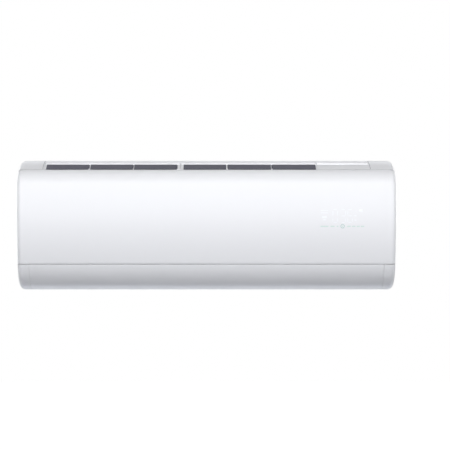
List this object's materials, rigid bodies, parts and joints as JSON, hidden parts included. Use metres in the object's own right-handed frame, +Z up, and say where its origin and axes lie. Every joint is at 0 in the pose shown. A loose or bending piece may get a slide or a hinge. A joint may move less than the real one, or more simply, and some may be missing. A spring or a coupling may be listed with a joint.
{
  "type": "mini split indoor unit",
  "caption": "Wall-hung indoor air conditioner with a bulged front panel that lifts, a curved outlet flap, swinging vanes, a cross-flow blower and filters that slide out of the top.",
  "frame": {"origin": "centre of the mounting plate's back face, on the wall", "axes": "+X to the right seen from the front, +Y into the wall, +Z up"},
  "size_m": [0.87, 0.215, 0.302],
  "materials": {
    "white_shell": "moulded, satin gloss",
    "white_inner": "moulded, matte",
    "grey_duct": "moulded, matte",
    "filter_frame": "moulded",
    "filter_mesh": "fine woven net",
    "fins": "bare fin stock",
    "copper": "drawn copper",
    "galvanised": "galvanised sheet",
    "steel": "zinc plated",
    "rubber": "moulded rubber",
    "foam": "closed-cell foam",
    "motor_case": "moulded resin",
    "wheel": "moulded",
    "vane_black": "moulded",
    "board": "laminate",
    "display": "clear cover over light modules",
    "brass": "turned"
  },
  "bodies": {
    "root": {"front_casing": "white_shell", "rear_chassis": "white_inner", "mounting_plate": "galvanised", "drain_pan": "white_inner", "drain_plug": "rubber", "evaporator_front_lower": "fins", "evaporator_front_upper": "fins", "evaporator_rear": "fins", "evaporator_end_plate_left": "galvanised", "evaporator_end_plate_right": "galvanised", "evaporator_tubes": "copper", "gas_pipe": "copper", "liquid_pipe": "copper", "gas_pipe_insulation": "foam", "liquid_pipe_insulation": "foam", "gas_union": "brass", "liquid_union": "brass", "pipe_clamp_plate": "galvanised", "fan_bearing": "rubber", "fan_motor": "motor_case", "motor_clamp": "white_inner", "control_box": "white_inner", "control_box_cover": "white_inner", "control_board": "board", "terminal_block": "vane_black", "cord_clamp": "white_inner", "display_housing": "display", "display_board": "board", "flap_stepper": "steel", "vane_stepper_left": "steel", "vane_stepper_right": "steel", "sensor_clip": "steel", "casing_screws": "steel", "chassis_screws": "steel"},
    "front_panel": {"front_panel": "white_shell"},
    "flap": {"outlet_flap": "white_shell", "flap_liner": "white_inner"},
    "blower": {"blower_wheel": "wheel", "blower_shafts": "steel"},
    "filter_left": {"filter_left_frame": "filter_frame", "filter_left_mesh": "filter_mesh"},
    "filter_right": {"filter_right_frame": "filter_frame", "filter_right_mesh": "filter_mesh"},
    "emergency_button": {"emergency_button": "white_inner"},
    "vane_left_1": {"vane_left_1": "vane_black"},
    "vane_left_2": {"vane_left_2": "vane_black"},
    "vane_left_3": {"vane_left_3": "vane_black"},
    "vane_left_4": {"vane_left_4": "vane_black"},
    "vane_left_5": {"vane_left_5": "vane_black"},
    "link_bar_left": {"link_bar_left": "vane_black"},
    "vane_right_1": {"vane_right_1": "vane_black"},
    "vane_right_2": {"vane_right_2": "vane_black"},
    "vane_right_3": {"vane_right_3": "vane_black"},
    "vane_right_4": {"vane_right_4": "vane_black"},
    "vane_right_5": {"vane_right_5": "vane_black"},
    "link_bar_right": {"link_bar_right": "vane_black"}
  },
  "joints": [
    {"name": "blower_spin", "type": "hinge", "parent": "root", "child": "blower", "pos_m": [0, -0.09792, -0.022], "axis": [1, 0, 0], "continuous": true},
    {"name": "front_panel_hinge", "type": "hinge", "parent": "root", "child": "front_panel", "pos_m": [0, -0.18957, 0.12196], "axis": [-1, 0, 0], "range_deg": [0, 55]},
    {"name": "outlet_flap_hinge", "type": "hinge", "parent": "root", "child": "flap", "pos_m": [0, -0.12613, -0.143], "axis": [1, 0, 0], "range_deg": [0, 80]},
    {"name": "vane_swing_left", "type": "hinge", "parent": "root", "child": "vane_left_1", "pos_m": [-0.333, -0.10293, -0.11551], "axis": [0, -0.8121, 0.5835], "range_deg": [-35, 35]},
    {"name": "vane_swing_left_2", "type": "hinge", "parent": "root", "child": "vane_left_2", "pos_m": [-0.273, -0.10293, -0.11551], "axis": [0, -0.8121, 0.5835], "range_deg": [-35, 35]},
    {"name": "vane_swing_left_3", "type": "hinge", "parent": "root", "child": "vane_left_3", "pos_m": [-0.213, -0.10293, -0.11551], "axis": [0, -0.8121, 0.5835], "range_deg": [-35, 35]},
    {"name": "vane_swing_left_4", "type": "hinge", "parent": "root", "child": "vane_left_4", "pos_m": [-0.153, -0.10293, -0.11551], "axis": [0, -0.8121, 0.5835], "range_deg": [-35, 35]},
    {"name": "vane_swing_left_5", "type": "hinge", "parent": "root", "child": "vane_left_5", "pos_m": [-0.093, -0.10293, -0.11551], "axis": [0, -0.8121, 0.5835], "range_deg": [-35, 35]},
    {"name": "link_bar_left_pivot", "type": "hinge", "parent": "vane_left_1", "child": "link_bar_left", "pos_m": [-0.333, -0.09592, -0.10576], "axis": [0, -0.8121, 0.5835], "range_deg": [-35, 35]},
    {"name": "filter_left_slide", "type": "slide", "parent": "root", "child": "filter_left", "axis": [0, 0, 1], "range_m": [0, 0.2]},
    {"name": "vane_swing_right", "type": "hinge", "parent": "root", "child": "vane_right_1", "pos_m": [-0.019, -0.10293, -0.11551], "axis": [0, -0.8121, 0.5835], "range_deg": [-35, 35]},
    {"name": "vane_swing_right_2", "type": "hinge", "parent": "root", "child": "vane_right_2", "pos_m": [0.041, -0.10293, -0.11551], "axis": [0, -0.8121, 0.5835], "range_deg": [-35, 35]},
    {"name": "vane_swing_right_3", "type": "hinge", "parent": "root", "child": "vane_right_3", "pos_m": [0.101, -0.10293, -0.11551], "axis": [0, -0.8121, 0.5835], "range_deg": [-35, 35]},
    {"name": "vane_swing_right_4", "type": "hinge", "parent": "root", "child": "vane_right_4", "pos_m": [0.161, -0.10293, -0.11551], "axis": [0, -0.8121, 0.5835], "range_deg": [-35, 35]},
    {"name": "vane_swing_right_5", "type": "hinge", "parent": "root", "child": "vane_right_5", "pos_m": [0.221, -0.10293, -0.11551], "axis": [0, -0.8121, 0.5835], "range_deg": [-35, 35]},
    {"name": "link_bar_right_pivot", "type": "hinge", "parent": "vane_right_1", "child": "link_bar_right", "pos_m": [-0.019, -0.09592, -0.10576], "axis": [0, -0.8121, 0.5835], "range_deg": [-35, 35]},
    {"name": "filter_right_slide", "type": "slide", "parent": "root", "child": "filter_right", "axis": [0, 0, 1], "range_m": [0, 0.2]},
    {"name": "emergency_button_press", "type": "slide", "parent": "root", "child": "emergency_button", "axis": [0, 1, 0], "range_m": [0, 0.0012], "stiffness_N_per_m": 400}
  ],
  "couplings": [
    {"joint": "vane_swing_left_2", "follows": "vane_swing_left", "ratio": 1},
    {"joint": "vane_swing_left_3", "follows": "vane_swing_left", "ratio": 1},
    {"joint": "vane_swing_left_4", "follows": "vane_swing_left", "ratio": 1},
    {"joint": "vane_swing_left_5", "follows": "vane_swing_left", "ratio": 1},
    {"joint": "link_bar_left_pivot", "follows": "vane_swing_left", "ratio": -1},
    {"joint": "vane_swing_right_2", "follows": "vane_swing_right", "ratio": 1},
    {"joint": "vane_swing_right_3", "follows": "vane_swing_right", "ratio": 1},
    {"joint": "vane_swing_right_4", "follows": "vane_swing_right", "ratio": 1},
    {"joint": "vane_swing_right_5", "follows": "vane_swing_right", "ratio": 1},
    {"joint": "link_bar_right_pivot", "follows": "vane_swing_right", "ratio": -1}
  ]
}
